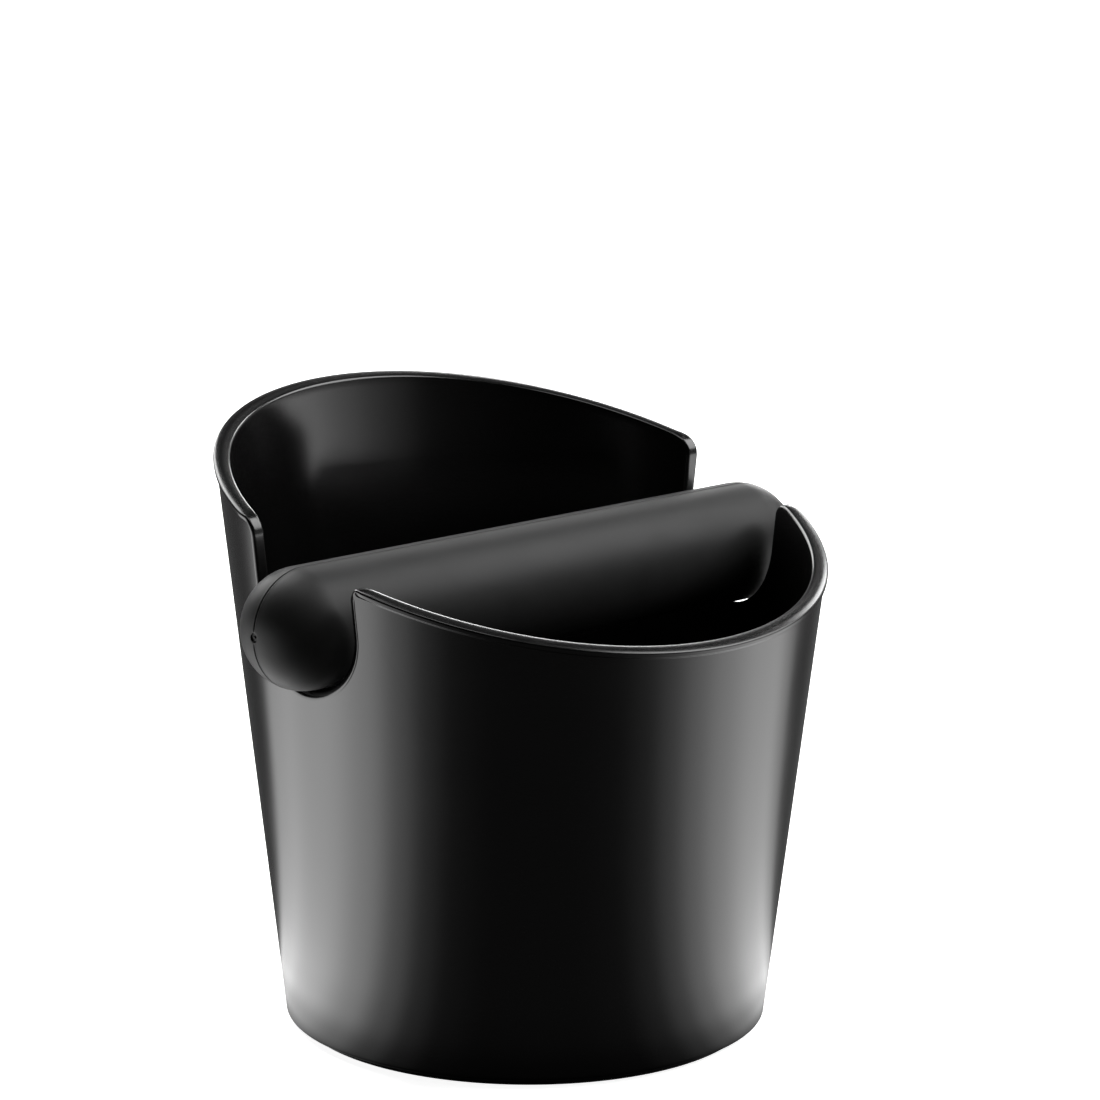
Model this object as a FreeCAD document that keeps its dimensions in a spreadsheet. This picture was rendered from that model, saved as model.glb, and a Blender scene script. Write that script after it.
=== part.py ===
import FreeCAD, Part
import os

import Sketcher

# Espresso knock box: a tapered plastic bucket with a slanted rim, and a rubber-covered steel
# bar that lies in two notches in the rim, where a portafilter is knocked to drop its puck.
#
# Millimetres. X runs along the knock bar, -Y is the low front of the rim and +Z is up.
# The origin is on the bucket's axis, level with the sole of the foot ring.

# Each driving dimension: the sheet's alias, its value, and what it measures.
SIZES = (
    ("wall_base_radius", 46.8, "outside of the wall, carried down to the counter"),
    ("wall_flare", 0.12, "how far the wall leans out for each unit of height"),
    ("wall_thickness", 2.8, "wall, measured level"),
    ("blank_top", 126.0, "top of the wall before the rim is cut, clear of the rim"),
    ("shell_bottom", 1.5, "underside of the bucket above the counter"),
    ("bottom_edge_radius", 1.6, "rounding where the wall meets the underside"),
    ("floor_top", 5.5, "inside floor above the counter"),
    ("floor_corner_radius", 8.0, "inside rounding from the floor up to the wall"),
    ("dish_radius", 5.0, "dish in the middle of the underside, round the moulding gate"),
    ("dish_ceiling", 2.7, "ceiling of that dish above the counter"),
    ("gate_radius", 1.5, "moulding gate's stub in the middle of the dish"),
    ("gate_stub", 0.6, "how far that stub stands down"),
    ("rim_height", 101.8, "rim plane above the counter, on the bucket's axis"),
    ("rim_slope", 0.278, "rise of the rim plane for each unit towards the back"),
    ("lip_proud", 0.5, "how far the lip stands out of the wall"),
    ("lip_depth", 1.2, "height of the lip below the rim plane"),
    ("lip_band_bottom", 78.0, "foot of the band that the lip is cut from"),
    ("rim_edge_radius", 0.3, "rounding of the edges of the rim and notches"),
    ("cut_reach", 80.0, "half-length of the cutting outlines, clear of the wall"),
    ("cut_top", 140.0, "top of the cutting outlines, clear of the wall"),
    ("notch_half_width", 13.0, "half-width of a notch, and radius of its floor"),
    ("notch_floor_centre", 88.2, "centre of the notch's round floor"),
    ("front_corner_radius", 2.4, "rim corner in front of a notch"),
    ("back_corner_radius", 4.0, "rim corner behind a notch"),
    ("bar_radius", 11.8, "knock bar over its rubber sleeve"),
    ("bar_half_straight", 56.2, "centre of the bucket to the centre of a domed end"),
    ("bar_axis_height", 87.2, "knock bar's axis above the counter"),
    ("core_radius", 6.0, "steel core inside the sleeve"),
    ("core_half_length", 54.0, "half-length of the steel core"),
    ("core_chamfer", 1.0, "chamfer on the ends of the steel core"),
    ("dimple_radius", 0.9, "pin mark in the middle of each domed end"),
    ("dimple_depth", 0.4, "depth of that pin mark"),
    ("foot_outer_radius", 44.75, "foot ring's outside, and its groove's"),
    ("foot_inner_radius", 39.75, "foot ring's inside, and its groove's"),
    ("foot_height", 3.5, "foot ring from its sole to the ceiling of its groove"),
    ("foot_edge", 0.5, "chamfer on the foot ring's lower edges"),
    ("sole_groove_depth", 0.5, "grip grooves in the foot ring's sole"),
    ("sole_groove_half", 0.4, "half-width of a grip groove at the sole"),
    ("sole_groove_first", 41.4, "radius of the inner grip groove"),
    ("sole_groove_pitch", 1.7, "from one grip groove to the next"),
)

SOLE_GROOVES = 2


def make_sheet(doc):
    """Put the driving dimensions in a spreadsheet, one row each."""
    sheet = doc.addObject("Spreadsheet::Sheet", "sizes")
    for row, (alias, value, meaning) in enumerate(SIZES, start=1):
        sheet.set(f"A{row}", meaning)
        sheet.set(f"B{row}", str(value))
        sheet.setAlias(f"B{row}", alias)
    doc.recompute()
    return sheet


def wall_radius(height, proud="0"):
    """Expression for the wall's outside radius at a height, plus what stands out of it."""
    return f"sizes.wall_base_radius + sizes.wall_flare * ({height}) + ({proud})"


def rim_level(along, below="0"):
    """Expression for the height of the rim plane, or of a plane below it, at a place along Y."""
    return f"sizes.rim_height + sizes.rim_slope * ({along}) - ({below})"


# Sketches and features


def make_body(doc, label):
    """An empty body whose label is also the name of its STEP file."""
    body = doc.addObject("PartDesign::Body", label)
    body.Label = label
    return body


def make_sketch(body, name, plane_role):
    """A sketch on one of the body's own origin planes."""
    sketch = body.newObject("Sketcher::SketchObject", name)
    plane = next(p for p in body.Origin.OriginFeatures if p.Role == plane_role)
    sketch.AttachmentSupport = [(plane, "")]
    sketch.MapMode = "FlatFace"
    return sketch


def bind(sketch, name, constraint, expression):
    """Add a constraint whose value follows an expression on the sheet."""
    index = sketch.addConstraint(constraint)
    sketch.renameConstraint(index, name)
    sketch.setExpression(f"Constraints.{name}", expression)


def place_point(sketch, name, edge, end, across, up):
    """Tie one end of an edge to expressions for its two coordinates."""
    point = sketch.getPoint(edge, end)
    for axis, kind, value, expression in (
        ("across", "DistanceX", point.x, across),
        ("up", "DistanceY", point.y, up),
    ):
        bind(sketch, f"{name}_{axis}", Sketcher.Constraint(kind, -1, 1, edge, end, value), expression)


def ends_from(sketch, arc, first):
    """An arc's two ends, the one at the point named first."""
    at_start = sketch.getPoint(arc, 1).distanceToPoint(first) < 0.001
    return (1, 2) if at_start else (2, 1)


def evaluate(doc, expression):
    """The number that an expression on the sheet stands for."""
    return float(doc.getObject("sizes").evalExpression(expression))


def add_polygon(doc, sketch, corners):
    """Draw a closed polygon through corners, each a name and two expressions."""
    points = [FreeCAD.Vector(evaluate(doc, x), evaluate(doc, y), 0) for _, x, y in corners]
    count = len(corners)
    for start in range(count):
        sketch.addGeometry(Part.LineSegment(points[start], points[(start + 1) % count]))
    for edge in range(count):
        sketch.addConstraint(Sketcher.Constraint("Coincident", edge, 2, (edge + 1) % count, 1))
    for edge, (name, across, up) in enumerate(corners):
        place_point(sketch, name, edge, 1, across, up)
    doc.recompute()


def revolve(body, name, sketch, axis="V_Axis"):
    """Turn a sketch once round one of its own axes."""
    feature = body.newObject("PartDesign::Revolution", name)
    feature.Profile = sketch
    feature.ReferenceAxis = (sketch, [axis])
    feature.Angle = 360
    return feature


def cut_through(doc, body, name, sketch):
    """Cut a sketch right through the body, both ways, and make sure that it bites."""
    before = body.Shape.Volume
    feature = body.newObject("PartDesign::Pocket", name)
    feature.Profile = sketch
    feature.Type = "ThroughAll"
    feature.SideType = "Symmetric"
    doc.recompute()
    if not feature.Shape.Volume < before:
        raise RuntimeError(f"{name} cuts nothing")
    return feature


def round_edges(doc, body, name, radius, chosen):
    """Fillet the edges of the body's tip that chosen() accepts, given the shape and the edge."""
    base = body.Tip
    shape = base.Shape
    names = [f"Edge{i}" for i, edge in enumerate(shape.Edges, start=1) if chosen(shape, edge)]
    if not names:
        raise RuntimeError(f"{name} finds no edge")
    feature = body.newObject("PartDesign::Fillet", name)
    feature.Base = (base, names)
    feature.setExpression("Radius", radius)
    doc.recompute()
    return feature


def is_circle(edge, radius, height):
    """Whether an edge is a circle of this radius round a centre at this height."""
    curve = edge.Curve
    return (
        isinstance(curve, Part.Circle)
        and abs(curve.Radius - radius) < 0.01
        and abs(curve.Center.z - height) < 0.01
    )


def left_by_rim(face):
    """Whether a face was left by the rim's outline: the rim itself, or a notch's side, floor or corner."""
    surface = face.Surface
    if isinstance(surface, Part.Cylinder):
        return abs(surface.Axis.x) > 0.999
    if not isinstance(surface, Part.Plane):
        return False
    normal = face.normalAt(0, 0)
    leans_or_stands = abs(normal.y) > 0.1
    under_lip = normal.z < -0.5
    return leans_or_stands and not under_lip


def borders_rim(shape, edge):
    """Whether an edge lies between the wall and the outline cut through it."""
    faces = shape.ancestorsOfType(edge, Part.Face)
    on_wall = any(isinstance(face.Surface, Part.Cone) for face in faces)
    return on_wall and any(left_by_rim(face) for face in faces)


# The bucket


def draw_lip_band(doc, body):
    """Section of a band round the top of the wall, which the lip is cut from."""
    sketch = make_sketch(body, "lip_band_section", "XZ_Plane")
    half_wall = "-sizes.wall_thickness / 2"
    low = "sizes.lip_band_bottom"
    high = "sizes.blank_top"
    add_polygon(doc, sketch, (
        ("low_inside", wall_radius(low, half_wall), low),
        ("low_outside", wall_radius(low, "sizes.lip_proud"), low),
        ("high_outside", wall_radius(high, "sizes.lip_proud"), high),
        ("high_inside", wall_radius(high, half_wall), high),
    ))
    return sketch


def draw_below_lip(doc, body):
    """Everything under the lip, seen along the bar, to trim the band from below."""
    sketch = make_sketch(body, "below_lip", "YZ_Plane")
    front = "-sizes.cut_reach"
    back = "sizes.cut_reach"
    floor = "sizes.shell_bottom"
    add_polygon(doc, sketch, (
        ("front_low", front, floor),
        ("back_low", back, floor),
        ("back_high", back, rim_level(back, "sizes.lip_depth")),
        ("front_high", front, rim_level(front, "sizes.lip_depth")),
    ))
    return sketch


def draw_shell(doc, body):
    """Section of the floor and wall, with the dish and the foot ring's groove in the underside."""
    sketch = make_sketch(body, "shell_section", "XZ_Plane")
    bottom = "sizes.shell_bottom"
    top = "sizes.blank_top"
    inside = "-sizes.wall_thickness"
    gate = "sizes.dish_ceiling - sizes.gate_stub"
    add_polygon(doc, sketch, (
        ("gate_middle", "0", gate),
        ("gate_edge", "sizes.gate_radius", gate),
        ("gate_root", "sizes.gate_radius", "sizes.dish_ceiling"),
        ("dish_corner", "sizes.dish_radius", "sizes.dish_ceiling"),
        ("dish_edge", "sizes.dish_radius", bottom),
        ("groove_inside_edge", "sizes.foot_inner_radius", bottom),
        ("groove_inside_root", "sizes.foot_inner_radius", "sizes.foot_height"),
        ("groove_outside_root", "sizes.foot_outer_radius", "sizes.foot_height"),
        ("groove_outside_edge", "sizes.foot_outer_radius", bottom),
        ("wall_foot", wall_radius(bottom), bottom),
        ("wall_top_outside", wall_radius(top), top),
        ("wall_top_inside", wall_radius(top, inside), top),
        ("floor_corner", wall_radius("sizes.floor_top", inside), "sizes.floor_top"),
        ("floor_middle", "0", "sizes.floor_top"),
    ))
    return sketch


def draw_rim(doc, body):
    """The bucket's outline from the side: the slanted rim, dipping into the two notches."""
    sketch = make_sketch(body, "rim_outline", "YZ_Plane")
    half = evaluate(doc, "sizes.notch_half_width")
    centre = evaluate(doc, "sizes.notch_floor_centre")
    reach = evaluate(doc, "sizes.cut_reach")
    top = evaluate(doc, "sizes.cut_top")

    def rim_point(along):
        return FreeCAD.Vector(along, evaluate(doc, rim_level(str(along))), 0)

    front_end, back_end = rim_point(-reach), rim_point(reach)
    front_corner, back_corner = rim_point(-half), rim_point(half)
    front_floor = FreeCAD.Vector(-half, centre, 0)
    back_floor = FreeCAD.Vector(half, centre, 0)
    back_top = FreeCAD.Vector(reach, top, 0)
    front_top = FreeCAD.Vector(-reach, top, 0)
    bottom = FreeCAD.Vector(0, centre - half, 0)

    front_rim = sketch.addGeometry(Part.LineSegment(front_end, front_corner))
    front_side = sketch.addGeometry(Part.LineSegment(front_corner, front_floor))
    floor = sketch.addGeometry(Part.Arc(front_floor, bottom, back_floor))
    back_side = sketch.addGeometry(Part.LineSegment(back_floor, back_corner))
    back_rim = sketch.addGeometry(Part.LineSegment(back_corner, back_end))
    back_edge = sketch.addGeometry(Part.LineSegment(back_end, back_top))
    top_edge = sketch.addGeometry(Part.LineSegment(back_top, front_top))
    front_edge = sketch.addGeometry(Part.LineSegment(front_top, front_end))
    slant = sketch.addGeometry(Part.LineSegment(front_end, back_end), True)

    for edge, following in (
        (back_rim, back_edge), (back_edge, top_edge), (top_edge, front_edge), (front_edge, front_rim),
    ):
        sketch.addConstraint(Sketcher.Constraint("Coincident", edge, 2, following, 1))
    sketch.addConstraint(Sketcher.Constraint("Vertical", back_edge))
    sketch.addConstraint(Sketcher.Constraint("Horizontal", top_edge))
    sketch.addConstraint(Sketcher.Constraint("Vertical", front_edge))
    sketch.addConstraint(Sketcher.Constraint("Coincident", slant, 1, front_rim, 1))
    sketch.addConstraint(Sketcher.Constraint("Coincident", slant, 2, back_rim, 2))
    place_point(sketch, "front_end", front_rim, 1, "-sizes.cut_reach", rim_level("-sizes.cut_reach"))
    place_point(sketch, "back_end", back_rim, 2, "sizes.cut_reach", rim_level("sizes.cut_reach"))
    bind(sketch, "cut_top", Sketcher.Constraint("DistanceY", -1, 1, top_edge, 1, top), "sizes.cut_top")

    # The notch: two upright sides, tangent to a half-round floor centred on the bar's plane.
    start, end = ends_from(sketch, floor, front_floor)
    sketch.addConstraint(Sketcher.Constraint("Vertical", front_side))
    sketch.addConstraint(Sketcher.Constraint("Vertical", back_side))
    sketch.addConstraint(Sketcher.Constraint("Tangent", front_side, 2, floor, start))
    sketch.addConstraint(Sketcher.Constraint("Tangent", floor, end, back_side, 1))
    sketch.addConstraint(Sketcher.Constraint("PointOnObject", floor, 3, -2))
    bind(sketch, "notch_half_width", Sketcher.Constraint("Radius", floor, half), "sizes.notch_half_width")
    bind(
        sketch, "notch_floor_centre",
        Sketcher.Constraint("DistanceY", -1, 1, floor, 3, centre), "sizes.notch_floor_centre",
    )
    for name, rim, rim_end, side, side_end in (
        ("front_corner_radius", front_rim, 2, front_side, 1),
        ("back_corner_radius", back_rim, 1, back_side, 2),
    ):
        round_rim_corner(doc, sketch, slant, name, (rim, rim_end), (side, side_end))
    doc.recompute()
    return sketch


def round_rim_corner(doc, sketch, slant, name, rim, side):
    """Join a rim line and a notch side with a tangent arc whose radius is on the sheet."""
    radius = evaluate(doc, f"sizes.{name}")
    corner = sketch.getPoint(*rim)
    along_rim = sketch.getPoint(rim[0], 3 - rim[1]) - corner
    along_side = sketch.getPoint(side[0], 3 - side[1]) - corner
    sketch.fillet(rim[0], side[0], corner + along_rim * 0.05, corner + along_side * 0.05, radius, True, False)
    arc = sketch.GeometryCount - 1
    sketch.addConstraint(Sketcher.Constraint("PointOnObject", rim[0], rim[1], slant))
    bind(sketch, name, Sketcher.Constraint("Radius", arc, radius), f"sizes.{name}")


def make_bucket(doc):
    """The moulded bucket: lip, wall, floor, rim with two notches, and rounded edges."""
    body = make_body(doc, "bucket")
    revolve(body, "lip_band", draw_lip_band(doc, body))
    doc.recompute()
    cut_through(doc, body, "lip_underside", draw_below_lip(doc, body))
    revolve(body, "shell", draw_shell(doc, body))
    doc.recompute()
    cut_through(doc, body, "rim", draw_rim(doc, body))
    floor_corner = evaluate(doc, wall_radius("sizes.floor_top", "-sizes.wall_thickness"))
    floor_top = evaluate(doc, "sizes.floor_top")
    wall_foot = evaluate(doc, wall_radius("sizes.shell_bottom"))
    shell_bottom = evaluate(doc, "sizes.shell_bottom")
    round_edges(doc, body, "rim_edges", "sizes.rim_edge_radius", borders_rim)
    round_edges(
        doc, body, "floor_corner", "sizes.floor_corner_radius",
        lambda shape, edge: is_circle(edge, floor_corner, floor_top),
    )
    round_edges(
        doc, body, "bottom_edge", "sizes.bottom_edge_radius",
        lambda shape, edge: is_circle(edge, wall_foot, shell_bottom),
    )
    return body


# The knock bar


def make_core(doc):
    """The solid steel rod inside the knock bar."""
    body = make_body(doc, "knock_bar_core")
    sketch = make_sketch(body, "core_section", "YZ_Plane")
    radius = evaluate(doc, "sizes.core_radius")
    circle = sketch.addGeometry(Part.Circle(FreeCAD.Vector(), FreeCAD.Vector(0, 0, 1), radius))
    sketch.addConstraint(Sketcher.Constraint("Coincident", circle, 3, -1, 1))
    bind(sketch, "core_radius", Sketcher.Constraint("Radius", circle, radius), "sizes.core_radius")
    rod = body.newObject("PartDesign::Pad", "rod")
    rod.Profile = sketch
    rod.SideType = "Symmetric"
    rod.setExpression("Length", "2 * sizes.core_half_length")
    doc.recompute()
    ends = [f"Edge{i}" for i, e in enumerate(rod.Shape.Edges, start=1) if isinstance(e.Curve, Part.Circle)]
    chamfer = body.newObject("PartDesign::Chamfer", "rod_ends")
    chamfer.Base = (rod, ends)
    chamfer.setExpression("Size", "sizes.core_chamfer")
    body.setExpression("Placement.Base.z", "sizes.bar_axis_height")
    return body


def draw_capsule(doc, body):
    """Half the outline of a straight bar with half-round ends, lying along X."""
    sketch = make_sketch(body, "capsule", "XZ_Plane")
    radius = evaluate(doc, "sizes.bar_radius")
    straight = evaluate(doc, "sizes.bar_half_straight")
    shoulders, poles, domes = [], [], []
    for side in (-1, 1):
        shoulder = FreeCAD.Vector(side * straight, radius, 0)
        pole = FreeCAD.Vector(side * (straight + radius), 0, 0)
        middle = FreeCAD.Vector(side * (straight + radius / 2**0.5), radius / 2**0.5, 0)
        shoulders.append(shoulder)
        poles.append(pole)
        domes.append(sketch.addGeometry(Part.Arc(pole, middle, shoulder)))
    top = sketch.addGeometry(Part.LineSegment(*shoulders))
    axis = sketch.addGeometry(Part.LineSegment(*poles))
    sketch.addConstraint(Sketcher.Constraint("PointOnObject", axis, 1, -1))
    sketch.addConstraint(Sketcher.Constraint("PointOnObject", axis, 2, -1))
    for end, (dome, shoulder) in enumerate(zip(domes, shoulders), start=1):
        at_shoulder, at_pole = ends_from(sketch, dome, shoulder)
        sketch.addConstraint(Sketcher.Constraint("Tangent", dome, at_shoulder, top, end))
        sketch.addConstraint(Sketcher.Constraint("Coincident", dome, at_pole, axis, end))
        sketch.addConstraint(Sketcher.Constraint("PointOnObject", dome, 3, -1))
    for name, dome, sign in (("left", domes[0], "-"), ("right", domes[1], "")):
        bind(sketch, f"{name}_radius", Sketcher.Constraint("Radius", dome, radius), "sizes.bar_radius")
        bind(
            sketch, f"{name}_centre",
            Sketcher.Constraint("DistanceX", -1, 1, dome, 3, float(f"{sign}{straight}")),
            f"{sign}sizes.bar_half_straight",
        )
    doc.recompute()
    return sketch


def draw_cavity(doc, body):
    """Half the outline of the space that the steel core fills."""
    sketch = make_sketch(body, "cavity", "XZ_Plane")
    end = "sizes.core_half_length"
    radius = "sizes.core_radius"
    chamfer = "sizes.core_chamfer"
    add_polygon(doc, sketch, (
        ("left_middle", f"-{end}", "0"),
        ("right_middle", end, "0"),
        ("right_face", end, f"{radius} - {chamfer}"),
        ("right_side", f"{end} - {chamfer}", radius),
        ("left_side", f"-{end} + {chamfer}", radius),
        ("left_face", f"-{end}", f"{radius} - {chamfer}"),
    ))
    return sketch


def draw_pin_mark(doc, body, side, sign):
    """Half the outline of the flat-bottomed mark in the middle of a domed end."""
    sketch = make_sketch(body, f"{side}_pin_mark_section", "XZ_Plane")
    root = f"{sign}(sizes.bar_half_straight + sizes.bar_radius - sizes.dimple_depth)"
    mouth = f"{sign}(sizes.bar_half_straight + sizes.bar_radius + sizes.dimple_depth)"
    add_polygon(doc, sketch, (
        ("root_middle", root, "0"),
        ("mouth_middle", mouth, "0"),
        ("mouth_edge", mouth, "sizes.dimple_radius"),
        ("root_edge", root, "sizes.dimple_radius"),
    ))
    return sketch


def groove_round_bar(doc, body, name, sketch):
    """Remove a half outline turned round the bar's axis, and make sure that it bites."""
    before = body.Shape.Volume
    feature = body.newObject("PartDesign::Groove", name)
    feature.Profile = sketch
    feature.ReferenceAxis = (sketch, ["H_Axis"])
    feature.Angle = 360
    doc.recompute()
    if not feature.Shape.Volume < before:
        raise RuntimeError(f"{name} cuts nothing")
    return feature


def make_sleeve(doc):
    """The rubber moulded round the core, with a pin mark in each domed end."""
    body = make_body(doc, "knock_bar_sleeve")
    revolve(body, "bar", draw_capsule(doc, body), "H_Axis")
    doc.recompute()
    groove_round_bar(doc, body, "core_cavity", draw_cavity(doc, body))
    for side, sign in (("left", "-"), ("right", "")):
        groove_round_bar(doc, body, f"{side}_pin_mark", draw_pin_mark(doc, body, side, sign))
    body.setExpression("Placement.Base.z", "sizes.bar_axis_height")
    return body


# The foot


def make_foot_ring(doc):
    """The rubber ring pressed into the groove under the bucket, with grip grooves in its sole."""
    body = make_body(doc, "foot_ring")
    sketch = make_sketch(body, "foot_section", "XZ_Plane")
    inner = "sizes.foot_inner_radius"
    outer = "sizes.foot_outer_radius"
    edge = "sizes.foot_edge"
    corners = [
        ("top_outside", outer, "sizes.foot_height"),
        ("top_inside", inner, "sizes.foot_height"),
        ("inside_edge", inner, edge),
        ("inside_sole", f"{inner} + {edge}", "0"),
    ]
    for groove in range(SOLE_GROOVES):
        middle = f"sizes.sole_groove_first + {groove} * sizes.sole_groove_pitch"
        corners += [
            (f"groove_{groove}_inside", f"{middle} - sizes.sole_groove_half", "0"),
            (f"groove_{groove}_root", middle, "sizes.sole_groove_depth"),
            (f"groove_{groove}_outside", f"{middle} + sizes.sole_groove_half", "0"),
        ]
    corners += [
        ("outside_sole", f"{outer} - {edge}", "0"),
        ("outside_edge", outer, edge),
    ]
    add_polygon(doc, sketch, corners)
    revolve(body, "ring", sketch)
    return body


def check(doc, bodies):
    """Stop if anything in the document failed, or a body isn't a valid solid."""
    for item in doc.Objects:
        if {"Invalid", "Error"} & set(item.State):
            raise RuntimeError(f"{item.Name} failed: {item.State}")
        if item.isDerivedFrom("Sketcher::SketchObject") and not item.FullyConstrained:
            raise RuntimeError(f"{item.Name} isn't fully constrained")
    for body in bodies:
        if body.Shape.isNull() or not body.Shape.isValid() or len(body.Shape.Solids) != 1:
            raise RuntimeError(f"{body.Label} isn't one valid solid")


def main():
    doc = FreeCAD.newDocument("knock_box")
    make_sheet(doc)
    bodies = [make_bucket(doc), make_core(doc), make_sleeve(doc), make_foot_ring(doc)]
    doc.recompute()
    check(doc, bodies)
    os.makedirs("parts", exist_ok=True)
    for body in bodies:
        body.Shape.exportStep(os.path.join("parts", f"{body.Label}.step"))
        box = body.Shape.BoundBox
        print(body.Label, round(body.Shape.Volume), box)


main()
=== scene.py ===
import math

import bpy
import numpy as np
from mathutils import Matrix, Vector


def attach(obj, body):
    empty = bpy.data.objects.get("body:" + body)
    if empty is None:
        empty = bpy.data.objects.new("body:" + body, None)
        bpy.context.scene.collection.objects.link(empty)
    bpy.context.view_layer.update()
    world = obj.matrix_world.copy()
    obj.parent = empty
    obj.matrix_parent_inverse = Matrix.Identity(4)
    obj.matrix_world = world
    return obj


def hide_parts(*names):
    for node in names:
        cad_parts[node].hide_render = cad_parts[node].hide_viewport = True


# Espresso knock box. Metres, in the CAD frame: X along the knock bar, -Y the low front of the rim,
# +Z up, and the origin on the bucket's axis, level with the sole of the foot ring.

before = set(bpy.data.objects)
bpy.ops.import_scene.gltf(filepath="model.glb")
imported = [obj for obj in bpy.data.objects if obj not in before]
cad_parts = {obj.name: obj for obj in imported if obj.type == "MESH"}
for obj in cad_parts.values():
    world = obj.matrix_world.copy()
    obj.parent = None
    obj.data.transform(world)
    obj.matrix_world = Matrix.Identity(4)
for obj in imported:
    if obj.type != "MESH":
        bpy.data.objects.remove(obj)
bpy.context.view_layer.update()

MM = 0.001

# The wall is a cone. The rim is one slanted plane, and the notches are cut through along X.
WALL_BASE_RADIUS = 46.8 * MM
WALL_FLARE = 0.12
WALL_THICKNESS = 2.8 * MM
WALL_LEAN = math.atan(WALL_FLARE)
RIM_HEIGHT = 101.8 * MM
RIM_SLOPE = 0.278
RIM_TILT = math.atan(RIM_SLOPE)
NOTCH_HALF_WIDTH = 13.0 * MM
NOTCH_FLOOR_CENTRE = 88.2 * MM
FRONT_CORNER_RADIUS = 2.4 * MM
BACK_CORNER_RADIUS = 4.0 * MM

# The rolled lip and the rounded edges, which are finer than the CAD solid's. The lip stands proud of
# the wall down to LIP_DEPTH and dies away over LIP_STEP. In a notch the outside edge is soft at the
# front and crisper at the back. REACH is how far down the wall the edge's own loops go. Over the BAND
# distances from the plane Y = 0, the soft edge, the lip and the reach change from notch to rim.
LIP_PROUD = 0.5 * MM
LIP_DEPTH = 0.75 * MM
LIP_STEP = 0.55 * MM
LIP_EDGE_RADIUS = 0.45 * MM
LIP_CROWN = 0.24
LIP_RISE = 0.12 * MM
NOTCH_EDGE_RADIUS = 1.7 * MM
NOTCH_BACK_RADIUS = 0.6 * MM
INNER_EDGE_RADIUS = 0.7 * MM
LIP_REACH = 1.45 * MM
NOTCH_REACH = 2.25 * MM
SOFT_BAND = (13.2 * MM, 15.8 * MM)
LIP_BAND = (15.0 * MM, 17.4 * MM)
REACH_BAND = (14.0 * MM, 19.0 * MM)

# The floor and the underside.
SHELL_BOTTOM = 1.5 * MM
BOTTOM_EDGE_RADIUS = 1.6 * MM
FLOOR_TOP = 5.5 * MM
FLOOR_CORNER_RADIUS = 8.0 * MM
DISH_RADIUS = 5.0 * MM
DISH_CEILING = 2.7 * MM
GATE_RADIUS = 1.5 * MM
GATE_STUB = 0.6 * MM
FOOT_OUTER_RADIUS = 44.75 * MM
FOOT_INNER_RADIUS = 39.75 * MM
FOOT_HEIGHT = 3.5 * MM
FOOT_EDGE = 0.5 * MM
SOLE_GROOVE_DEPTH = 0.5 * MM
SOLE_GROOVE_HALF = 0.4 * MM
SOLE_GROOVE_RADII = (41.4 * MM, 43.1 * MM)
SOFT_EDGE = 0.25 * MM

# The knock bar.
BAR_RADIUS = 11.8 * MM
BAR_HALF_STRAIGHT = 56.2 * MM
BAR_AXIS_HEIGHT = 87.2 * MM
CORE_RADIUS = 6.0 * MM
CORE_HALF_LENGTH = 54.0 * MM
CORE_CHAMFER = 1.0 * MM
PARTING_DEPTH = 0.14 * MM
PARTING_HALF_WIDTH = 0.12 * MM
PARTING_START = 1.0 * MM
PARTING_FADE = 0.6 * MM
FLASH_HEIGHT = 0.04 * MM
FLASH_OFFSET = 0.34 * MM

# The mould pin's mark at each end of the bar, from the pole out, in millimetres: depth below the pole
# and distance from the axis. The dome's own curve starts at DOME_START degrees.
PIN_MARK = (
    (0.20, 0.0), (0.20, 0.12), (0.24, 0.20), (0.36, 0.27), (0.40, 0.36), (0.40, 0.70),
    (0.37, 0.80), (0.29, 0.86), (0.14, 0.90), (0.07, 0.96), (0.05, 1.04),
)
DOME_START = 6.0

# Mesh fineness. The columns of the bar's skin are degrees from the parting line, closest beside it.
RIM_STEPS = 75
NOTCH_CORNER_STEPS = 14
NOTCH_FRONT_STEPS = 8
NOTCH_FLOOR_STEPS = 44
NOTCH_BACK_STEPS = 16
LIP_STEPS = 18
OUTER_ROUND_STEPS = 9
CROWN_STEPS = 10
INNER_ROUND_STEPS = 7
FLOOR_CORNER_STEPS = 14
FAN_FOOT = 68.0 * MM
FAN_ROWS = 18
FAN_CROWDING = 1.25
WALL_ROWS = 14
DOME_STEPS = 56
BAR_STEPS = 12
RING_COLUMNS = 256
SKIN_COLUMNS = (
    0, 0.25, 0.5, 0.75, 1, 1.3, 1.7, 2.2, 3, 4, 5.5, 7.5, 10, 14, 19, 25, 32, 40, 50, 60, 70, 80,
)
CAVITY_COLUMNS = 36
ON_AXIS = 1e-9

# A round takes up at most ROUND_SHARE of the shorter flat beside it. The point that keeps a flat flat
# lies FLAT_GUARD times as far from the corner as the round's end.
ROUND_SHARE = 0.3
FLAT_GUARD = 1.4


# Meshes made of closed loops


def bridge_faces(loops, closed=False):
    """Faces that join each closed loop of points to the next. A loop of one point is a pole."""
    starts = np.cumsum([0] + [len(loop) for loop in loops])
    pairs = [(row, row + 1) for row in range(len(loops) - 1)]
    if closed:
        pairs.append((len(loops) - 1, 0))
    faces = []
    for low_row, high_row in pairs:
        low, high = int(starts[low_row]), int(starts[high_row])
        low_count, high_count = len(loops[low_row]), len(loops[high_row])
        count = max(low_count, high_count)
        for i in range(count):
            j = (i + 1) % count
            if low_count == 1:
                faces.append((low, high + j, high + i))
            elif high_count == 1:
                faces.append((low + i, low + j, high))
            else:
                faces.append((low + i, low + j, high + j, high + i))
    return faces


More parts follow.
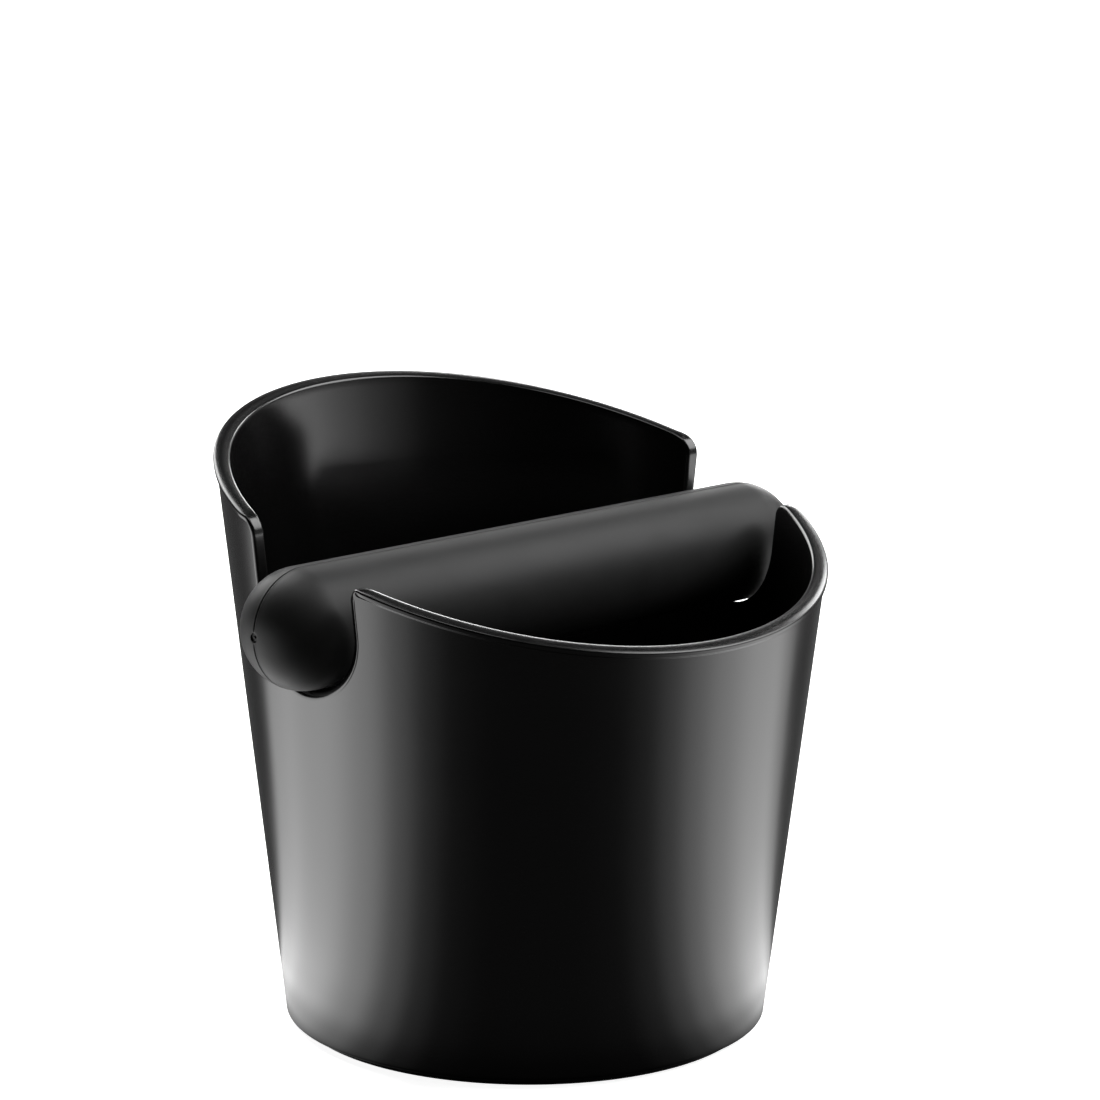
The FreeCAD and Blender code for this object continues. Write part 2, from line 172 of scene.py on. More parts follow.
def make_piece(name, shells, closed=False):
    """A smooth mesh of one or more shells, each a list of loops in order along its surface."""
    points, faces = [], []
    for loops in shells:
        start = sum(len(p) for p in points)
        faces += [tuple(start + corner for corner in face) for face in bridge_faces(loops, closed)]
        points += loops
    mesh = bpy.data.meshes.new(name)
    mesh.from_pydata(np.vstack(points).tolist(), [], faces)
    mesh.shade_smooth()
    made = bpy.data.objects.new(name, mesh)
    bpy.context.scene.collection.objects.link(made)
    return made


def unit(vectors):
    """Rows scaled to length one."""
    return vectors / np.linalg.norm(vectors, axis=1, keepdims=True)


def smooth_step(share):
    """From 0 to 1 with level ends."""
    share = np.clip(share, 0.0, 1.0)
    return share * share * (3.0 - 2.0 * share)


def round_corners(corners, radii, steps=5):
    """A line through corners, rounded at all but its ends, with points that keep its flats flat."""
    made = [corners[0]]
    for before, corner, after, radius in zip(corners, corners[1:], corners[2:], radii):
        before, corner, after = (np.array(p) for p in (before, corner, after))
        to_before = before - corner
        to_after = after - corner
        reach = min(np.linalg.norm(to_before), np.linalg.norm(to_after))
        to_before = to_before / np.linalg.norm(to_before)
        to_after = to_after / np.linalg.norm(to_after)
        half = math.acos(np.clip(to_before @ to_after, -1, 1)) / 2
        tangent = min(radius / math.tan(half), ROUND_SHARE * reach)
        radius = tangent * math.tan(half)
        inward = to_before + to_after
        centre = corner + inward / np.linalg.norm(inward) * radius / math.sin(half)
        first = corner + to_before * tangent - centre
        last = corner + to_after * tangent - centre
        turn = math.pi - 2 * half
        made.append(tuple(corner + to_before * tangent * FLAT_GUARD))
        for step in range(steps + 1):
            share = step / steps
            mixed = first * math.sin((1 - share) * turn) + last * math.sin(share * turn)
            made.append(tuple(centre + mixed / math.sin(turn)))
        made.append(tuple(corner + to_after * tangent * FLAT_GUARD))
    made.append(corners[-1])
    return made


def turn_round_z(outline, angles):
    """Closed loops round Z, one for each (radius, height); a point on the axis makes a pole."""
    loops = []
    for radius, height in outline:
        if radius < ON_AXIS:
            loops.append(np.array([[0.0, 0.0, height]]))
        else:
            loops.append(np.column_stack((
                radius * np.cos(angles), radius * np.sin(angles), np.full(len(angles), height),
            )))
    return loops


# The bucket


def cone_radius(height, inset=0.0):
    """The wall's outside radius at a height, or that of a surface a level distance inside it."""
    return WALL_BASE_RADIUS + WALL_FLARE * height - inset


def rim_level(along):
    """Height of the rim plane at a place along Y."""
    return RIM_HEIGHT + RIM_SLOPE * along


def on_cone(angles, heights, inset=0.0):
    """Points on the wall's outside, or on a surface inside it."""
    radii = cone_radius(heights, inset)
    return np.column_stack((radii * np.cos(angles), radii * np.sin(angles), heights))


def cone_normals(angles):
    """Outward normals of the wall."""
    flat = math.cos(WALL_LEAN)
    down = np.full(len(angles), -math.sin(WALL_LEAN))
    return np.column_stack((flat * np.cos(angles), flat * np.sin(angles), down))


def notch_outline():
    """The notch seen along X, from front to back: (place along Y, height)."""
    half = NOTCH_HALF_WIDTH
    rim_turn = math.pi / 2 + RIM_TILT
    corners = []
    for side, radius in ((-1, FRONT_CORNER_RADIUS), (1, BACK_CORNER_RADIUS)):
        middle = side * (half + radius)
        corners.append((middle, rim_level(middle) - radius / math.cos(RIM_TILT), radius))
    (front_y, front_z, front_r), (back_y, back_z, back_r) = corners
    points = []
    for turn in np.linspace(rim_turn, 0, NOTCH_CORNER_STEPS + 1):
        points.append((front_y + front_r * math.cos(turn), front_z + front_r * math.sin(turn)))
    for height in np.linspace(front_z, NOTCH_FLOOR_CENTRE, NOTCH_FRONT_STEPS + 1)[1:]:
        points.append((-half, height))
    for turn in np.linspace(math.pi, 2 * math.pi, NOTCH_FLOOR_STEPS + 1)[1:]:
        points.append((half * math.cos(turn), NOTCH_FLOOR_CENTRE + half * math.sin(turn)))
    for height in np.linspace(NOTCH_FLOOR_CENTRE, back_z, NOTCH_BACK_STEPS + 1)[1:]:
        points.append((half, height))
    for turn in np.linspace(math.pi, rim_turn, NOTCH_CORNER_STEPS + 1)[1:]:
        points.append((back_y + back_r * math.cos(turn), back_z + back_r * math.sin(turn)))
    return np.array(points)


def rim_heights(angles, inset):
    """Where the rim plane crosses the wall, at each angle."""
    radii = cone_radius(RIM_HEIGHT, inset) / (1.0 - WALL_FLARE * RIM_SLOPE * np.sin(angles))
    return rim_level(radii * np.sin(angles))


def rim_loop(inset):
    """Angles and heights round the rim: the right half from the front, then its mirror image."""
    notch = notch_outline()
    notch_angles = np.arcsin(notch[:, 0] / cone_radius(notch[:, 1], inset))
    front = np.linspace(-math.pi / 2, notch_angles[0], RIM_STEPS + 1)[:-1]
    back = np.linspace(notch_angles[-1], math.pi / 2, RIM_STEPS + 1)[1:]
    angles = np.concatenate((front, notch_angles, back))
    heights = np.concatenate((rim_heights(front, inset), notch[:, 1], rim_heights(back, inset)))
    left = slice(-2, 0, -1)
    angles = np.concatenate((angles, math.pi - angles[left]))
    return angles, np.concatenate((heights, heights[left]))


def loop_tangents(points):
    """Directions of travel along a closed loop."""
    return unit(np.roll(points, -1, axis=0) - np.roll(points, 1, axis=0))


def rounding(edge, first, second, radius, steps):
    """Loops of a round over an edge, from the face that runs along first to the one along second."""
    half = np.arccos(np.clip(np.sum(first * second, axis=1), -1, 1)) / 2
    tangent = (radius / np.tan(half))[:, None]
    centre = edge + unit(first + second) * (radius / np.sin(half))[:, None]
    start = edge + first * tangent - centre
    end = edge + second * tangent - centre
    turn = (math.pi - 2 * half)[:, None]
    loops = []
    for share in np.linspace(0, 1, steps + 1):
        mixed = start * np.sin((1 - share) * turn) + end * np.sin(share * turn)
        loops.append(centre + mixed / np.sin(turn))
    return loops


def back_on_cone(points, inset):
    """Points moved level onto the wall, as angles, heights and places."""
    angles = np.unwrap(np.arctan2(points[:, 1], points[:, 0]))
    heights = points[:, 2]
    return angles, heights, on_cone(angles, heights, inset)


def even_angles(points):
    """Angles round the wall, shared out by how far each point is along a closed loop."""
    steps = np.linalg.norm(np.roll(points, -1, axis=0) - points, axis=1)
    length = np.concatenate(([0.0], np.cumsum(steps)[:-1]))
    return -math.pi / 2 + 2 * math.pi * length / steps.sum()


def fan(angles, heights, ring_angles, inset):
    """Loops on the wall from just below the rim and notches down to a level ring."""
    loops = []
    for share in (np.arange(1, FAN_ROWS + 1) / FAN_ROWS) ** FAN_CROWDING:
        row_angles = angles + (ring_angles - angles) * share
        row_heights = heights + (FAN_FOOT - heights) * share
        loops.append(on_cone(row_angles, row_heights, inset))
    return loops


def notch_share(outer, band):
    """0 on the rim and 1 in the notches, changing over a band of distances from the plane Y = 0."""
    start, end = band
    return 1 - smooth_step((np.abs(outer[:, 1]) - start) / (end - start))


def outer_edge_radius(outer):
    """The outside edge's rounding: crisp on the lip, soft in a notch, less so at the notch's back."""
    to_back = smooth_step(outer[:, 1] / NOTCH_HALF_WIDTH)
    in_notch = NOTCH_EDGE_RADIUS + (NOTCH_BACK_RADIUS - NOTCH_EDGE_RADIUS) * to_back
    return LIP_EDGE_RADIUS + (in_notch - LIP_EDGE_RADIUS) * notch_share(outer, SOFT_BAND)


def lip_loops(outer, outward, into_outer, proud, reach, top):
    """Loops up the outside of the lip, from the wall at its reach to the foot of the edge's round."""
    loops = []
    for share in np.linspace(0, 1, LIP_STEPS + 1)[:-1]:
        depth = reach + (top - reach) * share
        _, _, places = back_on_cone(outer + into_outer * depth[:, None], 0.0)
        stand = proud * (1 - smooth_step((depth - LIP_DEPTH) / LIP_STEP))
        loops.append(places + outward * stand[:, None])
    return loops


def crown_loops(first, last, rise):
    """Loops over the crowned top, between the outside round and the inside one."""
    half_width = np.linalg.norm(last - first, axis=1, keepdims=True) / 2
    peak = (first + last) / 2 + rise * half_width
    return [
        first * (1 - share) ** 2 + peak * 2 * share * (1 - share) + last * share ** 2
        for share in np.linspace(0, 1, CROWN_STEPS + 1)[1:-1]
    ]


def rim_edge_loops(outer, outward, into_outer, inner, into_inner, reach):
    """Loops over the rim: lip or soft notch edge outside, crowned top, and the inside edge."""
    on_rim = 1 - notch_share(outer, LIP_BAND)
    proud = LIP_PROUD * on_rim
    outer_radius = outer_edge_radius(outer)
    outer_edge = outer + outward * proud[:, None]
    inner_edge = inner - into_inner * (LIP_RISE * on_rim)[:, None]
    across = unit(inner_edge - outer_edge)
    half = np.arccos(np.sum(into_outer * across, axis=1)) / 2
    rise = -into_outer * (LIP_CROWN * on_rim)[:, None]
    outer_round = rounding(
        outer_edge, into_outer, unit(rise + across), outer_radius, OUTER_ROUND_STEPS,
    )
    inner_radius = np.full(len(inner), INNER_EDGE_RADIUS)
    inner_round = rounding(
        inner_edge, unit(rise - across), into_inner, inner_radius, INNER_ROUND_STEPS,
    )
    return (
        lip_loops(outer, outward, into_outer, proud, reach, outer_radius / np.tan(half))
        + outer_round
        + crown_loops(outer_round[-1], inner_round[0], rise)
        + inner_round
    )


def underside_outline():
    """The underside from its middle out, with dish, gate and foot groove, up to the foot of the fan."""
    gate = DISH_CEILING - GATE_STUB
    return round_corners(
        (
            (0.0, gate), (GATE_RADIUS, gate), (GATE_RADIUS, DISH_CEILING),
            (DISH_RADIUS, DISH_CEILING), (DISH_RADIUS, SHELL_BOTTOM),
            (FOOT_INNER_RADIUS, SHELL_BOTTOM), (FOOT_INNER_RADIUS, FOOT_HEIGHT),
            (FOOT_OUTER_RADIUS, FOOT_HEIGHT), (FOOT_OUTER_RADIUS, SHELL_BOTTOM),
            (cone_radius(SHELL_BOTTOM), SHELL_BOTTOM), (cone_radius(FAN_FOOT), FAN_FOOT),
        ),
        [SOFT_EDGE] * 8 + [BOTTOM_EDGE_RADIUS],
    )


def floor_outline():
    """The inside from the foot of the fan down and in to the middle of the floor."""
    return round_corners(
        (
            (cone_radius(FAN_FOOT, WALL_THICKNESS), FAN_FOOT),
            (cone_radius(FLOOR_TOP, WALL_THICKNESS), FLOOR_TOP),
            (0.0, FLOOR_TOP),
        ),
        [FLOOR_CORNER_RADIUS],
        steps=FLOOR_CORNER_STEPS,
    )


def wall_outline(start, end, inset=0.0):
    """Points up or down the straight wall between two heights, without the ends."""
    return [(cone_radius(h, inset), h) for h in np.linspace(start, end, WALL_ROWS + 1)[1:-1]]


def make_bucket():
    """One closed skin: underside, outside wall, rolled lip and notch edges, inside wall and floor."""
    outer_angles, outer_heights = rim_loop(0.0)
    inner_angles, inner_heights = rim_loop(WALL_THICKNESS)
    outer = on_cone(outer_angles, outer_heights)
    inner = on_cone(inner_angles, inner_heights, WALL_THICKNESS)
    outward = cone_normals(outer_angles)
    into_outer = np.cross(loop_tangents(outer), outward)
    into_inner = np.cross(loop_tangents(inner), cone_normals(inner_angles))
    reach = LIP_REACH + (NOTCH_REACH - LIP_REACH) * notch_share(outer, REACH_BAND)

    ring_angles = even_angles(outer)
    out_angles, out_heights, _ = back_on_cone(outer + into_outer * reach[:, None], 0.0)
    in_angles, in_heights, in_places = back_on_cone(inner + into_inner * LIP_REACH, WALL_THICKNESS)
    underside = underside_outline()
    floor = floor_outline()
    # Straight wall lies between each fan and the nearest round of the underside or the floor.
    outside_wall = wall_outline(underside[-2][1], FAN_FOOT)
    inside_wall = wall_outline(FAN_FOOT, floor[1][1], WALL_THICKNESS)

    loops = turn_round_z(underside[:-1] + outside_wall, ring_angles)
    loops += reversed(fan(out_angles, out_heights, ring_angles, 0.0))
    loops += rim_edge_loops(outer, outward, into_outer, inner, into_inner, reach)
    loops.append(in_places)
    loops += fan(in_angles, in_heights, ring_angles, WALL_THICKNESS)
    loops += turn_round_z(inside_wall + floor[1:], ring_angles)
    return make_piece("bucket_shell", [loops])


# The knock bar


def bar_angles():
    """Angles round the bar from its top, closest together at the parting line above and below."""
    quarter = np.array(SKIN_COLUMNS)
    half = np.concatenate((quarter, [90], 180 - quarter[:0:-1]))
    return np.radians(np.concatenate((half, half + 180)))


def bar_outline():
    """Half of the bar's outline, left pole to middle: (place along X, distance from the axis)."""
    pole = -BAR_HALF_STRAIGHT - BAR_RADIUS
    outline = [(pole + depth * MM, radius * MM) for depth, radius in PIN_MARK]
    for turn in np.radians(np.linspace(DOME_START, 90.0, DOME_STEPS + 1)):
        along = -BAR_HALF_STRAIGHT - BAR_RADIUS * math.cos(turn)
        outline.append((along, BAR_RADIUS * math.sin(turn)))
    for share in np.linspace(0, 1, BAR_STEPS + 1)[1:]:
        outline.append((-BAR_HALF_STRAIGHT * (1 - share), BAR_RADIUS))
    return outline


def parting_height(across):
    """How far the skin stands off near the parting plane: a fine furrow between two low ridges."""
    furrow = PARTING_DEPTH * np.exp(-((across / PARTING_HALF_WIDTH) ** 2))
    ridge = FLASH_HEIGHT * np.exp(-(((np.abs(across) - FLASH_OFFSET) / PARTING_HALF_WIDTH) ** 2))
    return ridge - furrow


def turn_round_bar(outline, angles):
    """Closed loops round the bar's axis, for each (place along X, distance from the axis)."""
    loops = []
    for along, radius in outline:
        if radius < ON_AXIS:
            loops.append(np.array([[along, 0.0, BAR_AXIS_HEIGHT]]))
        else:
            loops.append(np.column_stack((
                np.full(len(angles), along),
                -radius * np.sin(angles),
                BAR_AXIS_HEIGHT + radius * np.cos(angles),
            )))
    return loops


def mark_parting_line(loops):
    """Press the parting line into the bar's skin, above and below, fading out at the pin marks."""
    for loop in loops:
        if len(loop) == 1:
            continue
        beyond = np.abs(loop[:, 0]) - BAR_HALF_STRAIGHT
        normals = np.column_stack((
            np.sign(loop[:, 0]) * np.maximum(beyond, 0.0), loop[:, 1], loop[:, 2] - BAR_AXIS_HEIGHT,
        ))
        radius = np.linalg.norm(loop[:, 1:] - (0.0, BAR_AXIS_HEIGHT), axis=1)
        fade = smooth_step((radius - PARTING_START) / PARTING_FADE)
        loop += unit(normals) * (parting_height(loop[:, 1]) * fade)[:, None]


def make_sleeve():
    """The rubber sleeve: domed bar with parting line and pin marks, hollow where the core lies."""
    left = bar_outline()
    right = [(-along, radius) for along, radius in reversed(left[:-1])]
    skin = turn_round_bar(left + right, bar_angles())
    mark_parting_line(skin)
    end = CORE_HALF_LENGTH
    core = (
        (end, 0.0), (end, CORE_RADIUS - CORE_CHAMFER), (end - CORE_CHAMFER, CORE_RADIUS),
        (CORE_CHAMFER - end, CORE_RADIUS), (-end, CORE_RADIUS - CORE_CHAMFER), (-end, 0.0),
    )
    cavity = turn_round_bar(core, np.radians(np.arange(CAVITY_COLUMNS) * 360 / CAVITY_COLUMNS))
    return make_piece("knock_bar_rubber", [skin, cavity])


# The foot ring


def make_foot():
    """The rubber ring under the bucket, with two grip grooves in its sole."""
    inner, outer = FOOT_INNER_RADIUS, FOOT_OUTER_RADIUS
    sole = [(inner + FOOT_EDGE, 0.0)]
    for middle in SOLE_GROOVE_RADII:
        sole += [
            (middle - SOLE_GROOVE_HALF, 0.0),
            (middle, SOLE_GROOVE_DEPTH),
            (middle + SOLE_GROOVE_HALF, 0.0),
        ]
    sole.append((outer - FOOT_EDGE, 0.0))
    top = (inner + outer) / 2
    corners = [(top, FOOT_HEIGHT), (inner, FOOT_HEIGHT), (inner, FOOT_EDGE)]
    corners += sole
    corners += [(outer, FOOT_EDGE), (outer, FOOT_HEIGHT), (top, FOOT_HEIGHT)]
    outline = round_corners(corners, [SOFT_EDGE] * (len(corners) - 2), steps=4)
    angles = np.linspace(0, 2 * math.pi, RING_COLUMNS, endpoint=False)
    return make_piece("foot_ring_rubber", [turn_round_z(outline[:-1], angles)], closed=True)


# Materials

NOISE_RANGE = (0.3, 0.7)


def new_material(name):
    """A node material with its shader and links, and a call that adds a node with its inputs."""
    material = bpy.data.materials.new(name)
    material.use_nodes = True
    tree = material.node_tree

    def add(kind, **inputs):
        node = tree.nodes.new(kind)
        for socket, value in inputs.items():
            if isinstance(value, bpy.types.NodeSocket):
                tree.links.new(value, node.inputs[socket])
            else:
                node.inputs[socket].default_value = value
        return node

    return material, tree.nodes["Principled BSDF"], tree.links, add


def grey(value):
    """An opaque grey."""
    return (value, value, value, 1.0)


def ramp(add, factor, low, high):
    """A value that runs from low to high as noise runs over most of its range."""
    node = add("ShaderNodeValToRGB", Fac=factor)
    for element, position, value in zip(node.color_ramp.elements, NOISE_RANGE, (low, high)):
        element.position = position
        element.color = grey(value)
    return node.outputs["Color"]


def noise(add, scale, detail, roughness, stretch=(1.0, 1.0, 1.0)):
    """Cloudy noise fixed to the piece, about 1 / scale metres coarse."""
    place = add("ShaderNodeTexCoord").outputs["Object"]
    if stretch != (1.0, 1.0, 1.0):
        place = add("ShaderNodeMapping", Vector=place, Scale=stretch).outputs["Vector"]
    node = add("ShaderNodeTexNoise", Vector=place, Scale=scale, Detail=detail, Roughness=roughness)
    return node.outputs["Fac"]


def satin_plastic():
    """Black injection-moulded plastic: satin, with a faint orange peel and cloudy gloss."""
    material, shader, links, add = new_material("satin_black_plastic")
    clouds = noise(add, 45.0, 3.0, 0.5)
    peel = noise(add, 650.0, 2.0, 0.45)
    grain = noise(add, 2600.0, 2.0, 0.6)
    links.new(ramp(add, clouds, 0.0018, 0.0028), shader.inputs["Base Color"])
    links.new(ramp(add, clouds, 0.18, 0.22), shader.inputs["Roughness"])
    coarse = add("ShaderNodeBump", Height=peel, Strength=0.05, Distance=0.04 * MM).outputs["Normal"]
    fine = add("ShaderNodeBump", Height=grain, Normal=coarse, Strength=0.06, Distance=0.02 * MM)
    links.new(fine.outputs["Normal"], shader.inputs["Normal"])
    shader.inputs["IOR"].default_value = 1.5
    return material


def moulded_rubber(name, tone, roughness):
    """Matt black rubber: fine skin from the mould, slightly uneven in tone and gloss."""
    material, shader, links, add = new_material(name)
    clouds = noise(add, 90.0, 4.0, 0.6)
    skin = noise(add, 3200.0, 3.0, 0.65)
    links.new(ramp(add, clouds, *tone), shader.inputs["Base Color"])
    links.new(ramp(add, clouds, *roughness), shader.inputs["Roughness"])
    bump = add("ShaderNodeBump", Height=skin, Strength=0.12, Distance=0.03 * MM)
    links.new(bump.outputs["Normal"], shader.inputs["Normal"])
    shader.inputs["Specular IOR Level"].default_value = 0.16
    shader.inputs["Sheen Weight"].default_value = 0.03
    shader.inputs["Sheen Roughness"].default_value = 0.4
    return material


def brushed_steel():
    """Turned steel rod: fine rings round its axis."""
    material, shader, links, add = new_material("brushed_steel")
    rings = noise(add, 5200.0, 3.0, 0.6, stretch=(1.0, 0.02, 0.02))
    links.new(ramp(add, rings, 0.48, 0.62), shader.inputs["Base Color"])
    links.new(ramp(add, rings, 0.26, 0.4), shader.inputs["Roughness"])
    bump = add("ShaderNodeBump", Height=rings, Strength=0.2, Distance=0.02 * MM)
    links.new(bump.outputs["Normal"], shader.inputs["Normal"])
    shader.inputs["Metallic"].default_value = 1.0
    shader.inputs["Anisotropic"].default_value = 0.5
    return material


def finish_piece(piece, body, node, material):
    """Put a new piece in its CAD node's place."""
    piece.data.materials.append(material)
    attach(piece, body)
    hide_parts(node)


# Camera and studio

CAMERA_AIM = Vector((8.5, 3.1, 91.9)) * MM
CAMERA_DISTANCE = 1020.3 * MM
CAMERA_AZIMUTH = math.radians(-41.93)
CAMERA_ELEVATION = math.radians(13.15)
CAMERA_ROLL = math.radians(0.43)
CAMERA_LENS = 171.1

# Light by direction round the object, in degrees to the right of the camera. On the table, two soft
# pools of light lie either side of a dark front. TABLE_FADE dims them near the bucket's foot, by
# distance from the axis. The backdrop is dark in front and dim behind, with one narrow bright strip
# behind. HORIZON_FADE dims it higher up, by the sine of the elevation.
TABLE_LIGHT = (
    (-180, 0.15), (-150, 0.10), (-132, 0.08), (-124, 0.18), (-115, 2.1), (-98, 3.5), (-76, 4.5),
    (-60, 3.5), (-46, 1.35), (-36, 0.40), (-26, 0.12), (-12, 0.07), (16, 0.07), (32, 0.09),
    (44, 0.25), (54, 0.8), (64, 1.8), (76, 2.9), (92, 3.5), (107, 2.9), (118, 1.3), (125, 0.18),
    (136, 0.10), (152, 0.15), (180, 0.15),
)
TABLE_FADE = (
    (0.0, 0.1), (0.048, 0.1), (0.054, 0.4), (0.066, 0.85), (0.08, 1.0), (0.14, 1.0), (0.3, 1.0),
)
HORIZON_LIGHT = (
    (-180, 0.6), (-165, 0.5), (-140, 0.4), (-120, 0.1), (-100, 0.02), (-60, 0.01), (0, 0.01),
    (40, 0.05), (56, 0.25), (82, 0.32), (100, 0.32), (120, 0.3), (146, 0.6), (161, 0.6),
    (167, 10.0), (173.5, 10.0), (178, 0.6), (180, 0.6),
)
HORIZON_FADE = ((-1.0, 1.0), (0.32, 1.0), (0.38, 0.05), (0.5, 0.015), (1.0, 0.015))

# The white floor glows, so the shadow on it stays faint. The table's light lies just under it.
FLOOR_RADIUS = 6.0
FLOOR_GLOW = 0.93
TABLE_RADIUS = 4.0
TABLE_HEIGHT = -1.0 * MM
DISC_CORNERS = 96

# Square soft lights: name, degrees to the right of the camera, degrees up, side in metres, and
# brightness.
SOFT_LIGHTS = (
    ("overhead", 0, 88, 0.6, 3.0),
    ("right_softbox", 104, 44, 1.2, 6.0),
    ("corner_softbox", 149, 30, 0.3, 10.0),
    ("left_softbox", -145, 30, 0.9, 5.0),
    ("top_softbox", -143, 55, 0.9, 5.0),
)
LIGHT_DISTANCE = 1.6
LIGHT_TARGET = Vector((0.0, 0.0, 60.0)) * MM


def direction(azimuth, elevation):
    """Unit vector, in degrees to the right of the camera and up from level."""
    turn = CAMERA_AZIMUTH + math.radians(azimuth)
    rise = math.radians(elevation)
    level = math.cos(rise)
    return Vector((math.sin(turn) * level, -math.cos(turn) * level, math.sin(rise)))


def make_camera():
    """The camera looks at CAMERA_AIM from the front left, a little above the rim."""
    camera = bpy.data.objects.new("camera", bpy.data.cameras.new("camera"))
    bpy.context.scene.collection.objects.link(camera)
    back = direction(0, math.degrees(CAMERA_ELEVATION))
    turn = (-back).to_track_quat("-Z", "Y").to_matrix() @ Matrix.Rotation(CAMERA_ROLL, 3, "Z")
    camera.matrix_world = Matrix.Translation(CAMERA_AIM + back * CAMERA_DISTANCE) @ turn.to_4x4()
    camera.data.lens = CAMERA_LENS
    camera.data.clip_start = 0.05
    bpy.context.scene.camera = camera


def multiplied(tree, value, factor):
    """A node that multiplies a value by a number or by another value."""
    node = tree.nodes.new("ShaderNodeMath")
    node.operation = "MULTIPLY"
    tree.links.new(value, node.inputs[0])
    if isinstance(factor, float):
        node.inputs[1].default_value = factor
    else:
        tree.links.new(factor, node.inputs[1])
    return node.outputs["Value"]


def by_stops(tree, value, stops):
    """Nodes that turn a value into a strength, smooth between (value, strength) stops."""
    low, high = stops[0][0], stops[-1][0]
    peak = max(strength for _, strength in stops)
    share = tree.nodes.new("ShaderNodeMapRange")
    share.inputs["From Min"].default_value = low
    share.inputs["From Max"].default_value = high
    tree.links.new(value, share.inputs["Value"])
    ramp_node = tree.nodes.new("ShaderNodeValToRGB")
    ramp_node.color_ramp.interpolation = "EASE"
    elements = ramp_node.color_ramp.elements
    elements.remove(elements[1])
    elements[0].position = 0.0
    elements[0].color = grey(stops[0][1] / peak)
    for at, strength in stops[1:]:
        elements.new((at - low) / (high - low)).color = grey(strength / peak)
    tree.links.new(share.outputs["Result"], ramp_node.inputs["Fac"])
    return multiplied(tree, ramp_node.outputs["Color"], peak)


def light_by_azimuth(tree, vector, stops):
    """Nodes that turn a place or direction into its light, from (degrees, strength) stops."""
    turned = tree.nodes.new("ShaderNodeVectorRotate")
    turned.rotation_type = "Z_AXIS"
    turned.inputs["Angle"].default_value = -CAMERA_AZIMUTH
    tree.links.new(vector, turned.inputs["Vector"])
    parts = tree.nodes.new("ShaderNodeSeparateXYZ")
    tree.links.new(turned.outputs["Vector"], parts.inputs["Vector"])
    azimuth = tree.nodes.new("ShaderNodeMath")
    azimuth.operation = "ARCTAN2"
    tree.links.new(parts.outputs["X"], azimuth.inputs[0])
    tree.links.new(multiplied(tree, parts.outputs["Y"], -1.0), azimuth.inputs[1])
    in_radians = [(math.radians(degrees), light) for degrees, light in stops]
    return by_stops(tree, azimuth.outputs["Value"], in_radians)


def make_disc(name, radius, height, material):
    """A level disc of the stage, centred under the object."""
    mesh = bpy.data.meshes.new(name)
    angles = np.linspace(0, 2 * math.pi, DISC_CORNERS, endpoint=False)
    corners = [(radius * math.cos(a), radius * math.sin(a), height) for a in angles]
    mesh.from_pydata(corners, [], [tuple(range(len(corners)))])
    disc = bpy.data.objects.new(name, mesh)
    bpy.context.scene.collection.objects.link(disc)
    disc.data.materials.append(material)
    return disc


def make_floor():
    """A plain white floor. Reflections see through it, to the table's light."""
    white, shader, _, _ = new_material("white_floor")
    shader.inputs["Base Color"].default_value = grey(0.85)
    shader.inputs["Roughness"].default_value = 0.9
    shader.inputs["Emission Color"].default_value = grey(1.0)
    shader.inputs["Emission Strength"].default_value = FLOOR_GLOW
    floor = make_disc("floor", FLOOR_RADIUS, 0.0, white)
    floor.visible_glossy = False
    floor.visible_diffuse = False


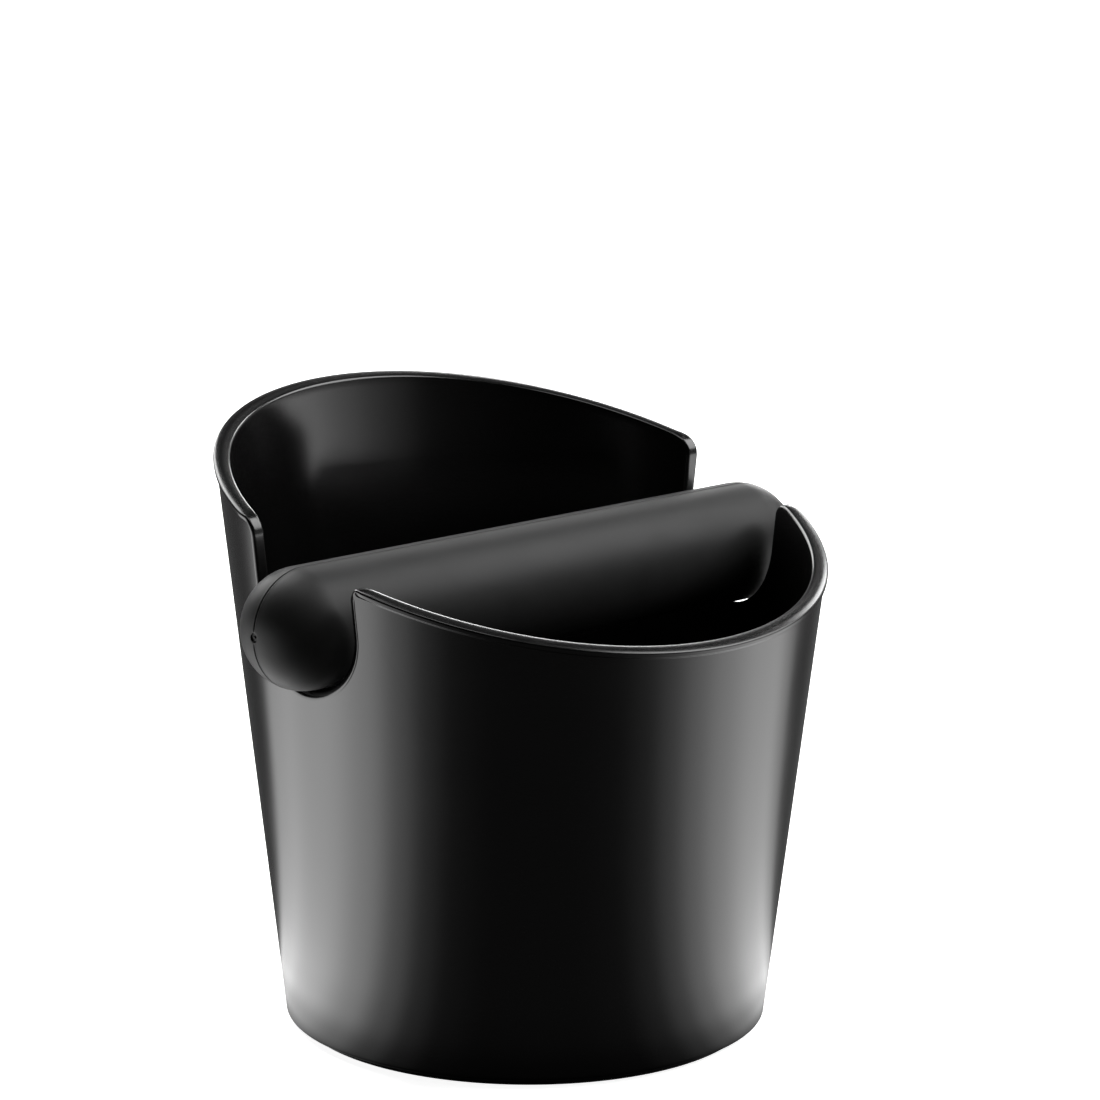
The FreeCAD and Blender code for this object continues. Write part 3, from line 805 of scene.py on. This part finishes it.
def make_table_light():
    """The pools of light on the table, which only reflections see."""
    glow = bpy.data.materials.new("table_light")
    glow.use_nodes = True
    tree = glow.node_tree
    tree.nodes.clear()
    place = tree.nodes.new("ShaderNodeNewGeometry").outputs["Position"]
    distance = tree.nodes.new("ShaderNodeVectorMath")
    distance.operation = "LENGTH"
    tree.links.new(place, distance.inputs[0])
    fade = by_stops(tree, distance.outputs["Value"], TABLE_FADE)
    lit = multiplied(tree, light_by_azimuth(tree, place, TABLE_LIGHT), fade)
    emission = tree.nodes.new("ShaderNodeEmission")
    tree.links.new(lit, emission.inputs["Strength"])
    output = tree.nodes.new("ShaderNodeOutputMaterial")
    tree.links.new(emission.outputs["Emission"], output.inputs["Surface"])
    table = make_disc("table_light", TABLE_RADIUS, TABLE_HEIGHT, glow)
    table.visible_camera = False
    table.visible_diffuse = False
    table.visible_shadow = False


def make_world():
    """White to the camera. To the object, the backdrop's light."""
    world = bpy.data.worlds.new("studio")
    bpy.context.scene.world = world
    world.use_nodes = True
    tree = world.node_tree
    outward = tree.nodes.new("ShaderNodeTexCoord").outputs["Generated"]
    parts = tree.nodes.new("ShaderNodeSeparateXYZ")
    tree.links.new(outward, parts.inputs["Vector"])
    fade = by_stops(tree, parts.outputs["Z"], HORIZON_FADE)
    band = multiplied(tree, light_by_azimuth(tree, outward, HORIZON_LIGHT), fade)
    to_camera = tree.nodes.new("ShaderNodeLightPath").outputs["Is Camera Ray"]
    seen = tree.nodes.new("ShaderNodeMix")
    tree.links.new(to_camera, seen.inputs["Factor"])
    tree.links.new(band, seen.inputs["A"])
    seen.inputs["B"].default_value = 1.0
    background = tree.nodes["Background"]
    background.inputs["Color"].default_value = grey(1.0)
    tree.links.new(seen.outputs["Result"], background.inputs["Strength"])


def make_light(name, azimuth, elevation, size, strength):
    """A square soft light of even brightness, facing the bucket."""
    data = bpy.data.lights.new(name, "AREA")
    data.size = size
    data.energy = strength * math.pi * size * size
    light = bpy.data.objects.new(name, data)
    bpy.context.scene.collection.objects.link(light)
    away = direction(azimuth, elevation)
    light.location = LIGHT_TARGET + away * LIGHT_DISTANCE
    light.rotation_euler = away.to_track_quat("Z", "Y").to_euler()
    light.visible_camera = False


finish_piece(make_bucket(), "bucket", "bucket", satin_plastic())
finish_piece(
    make_sleeve(), "knock_bar", "knock_bar_sleeve",
    moulded_rubber("bar_rubber", tone=(0.02, 0.025), roughness=(0.44, 0.52)),
)
finish_piece(
    make_foot(), "bucket", "foot_ring",
    moulded_rubber("foot_rubber", tone=(0.004, 0.006), roughness=(0.6, 0.7)),
)
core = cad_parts["knock_bar_core"]
core.data.materials.clear()
core.data.materials.append(brushed_steel())

make_camera()
make_floor()
make_table_light()
make_world()
for soft_light in SOFT_LIGHTS:
    make_light(*soft_light)
bpy.context.scene.view_settings.view_transform = "Standard"
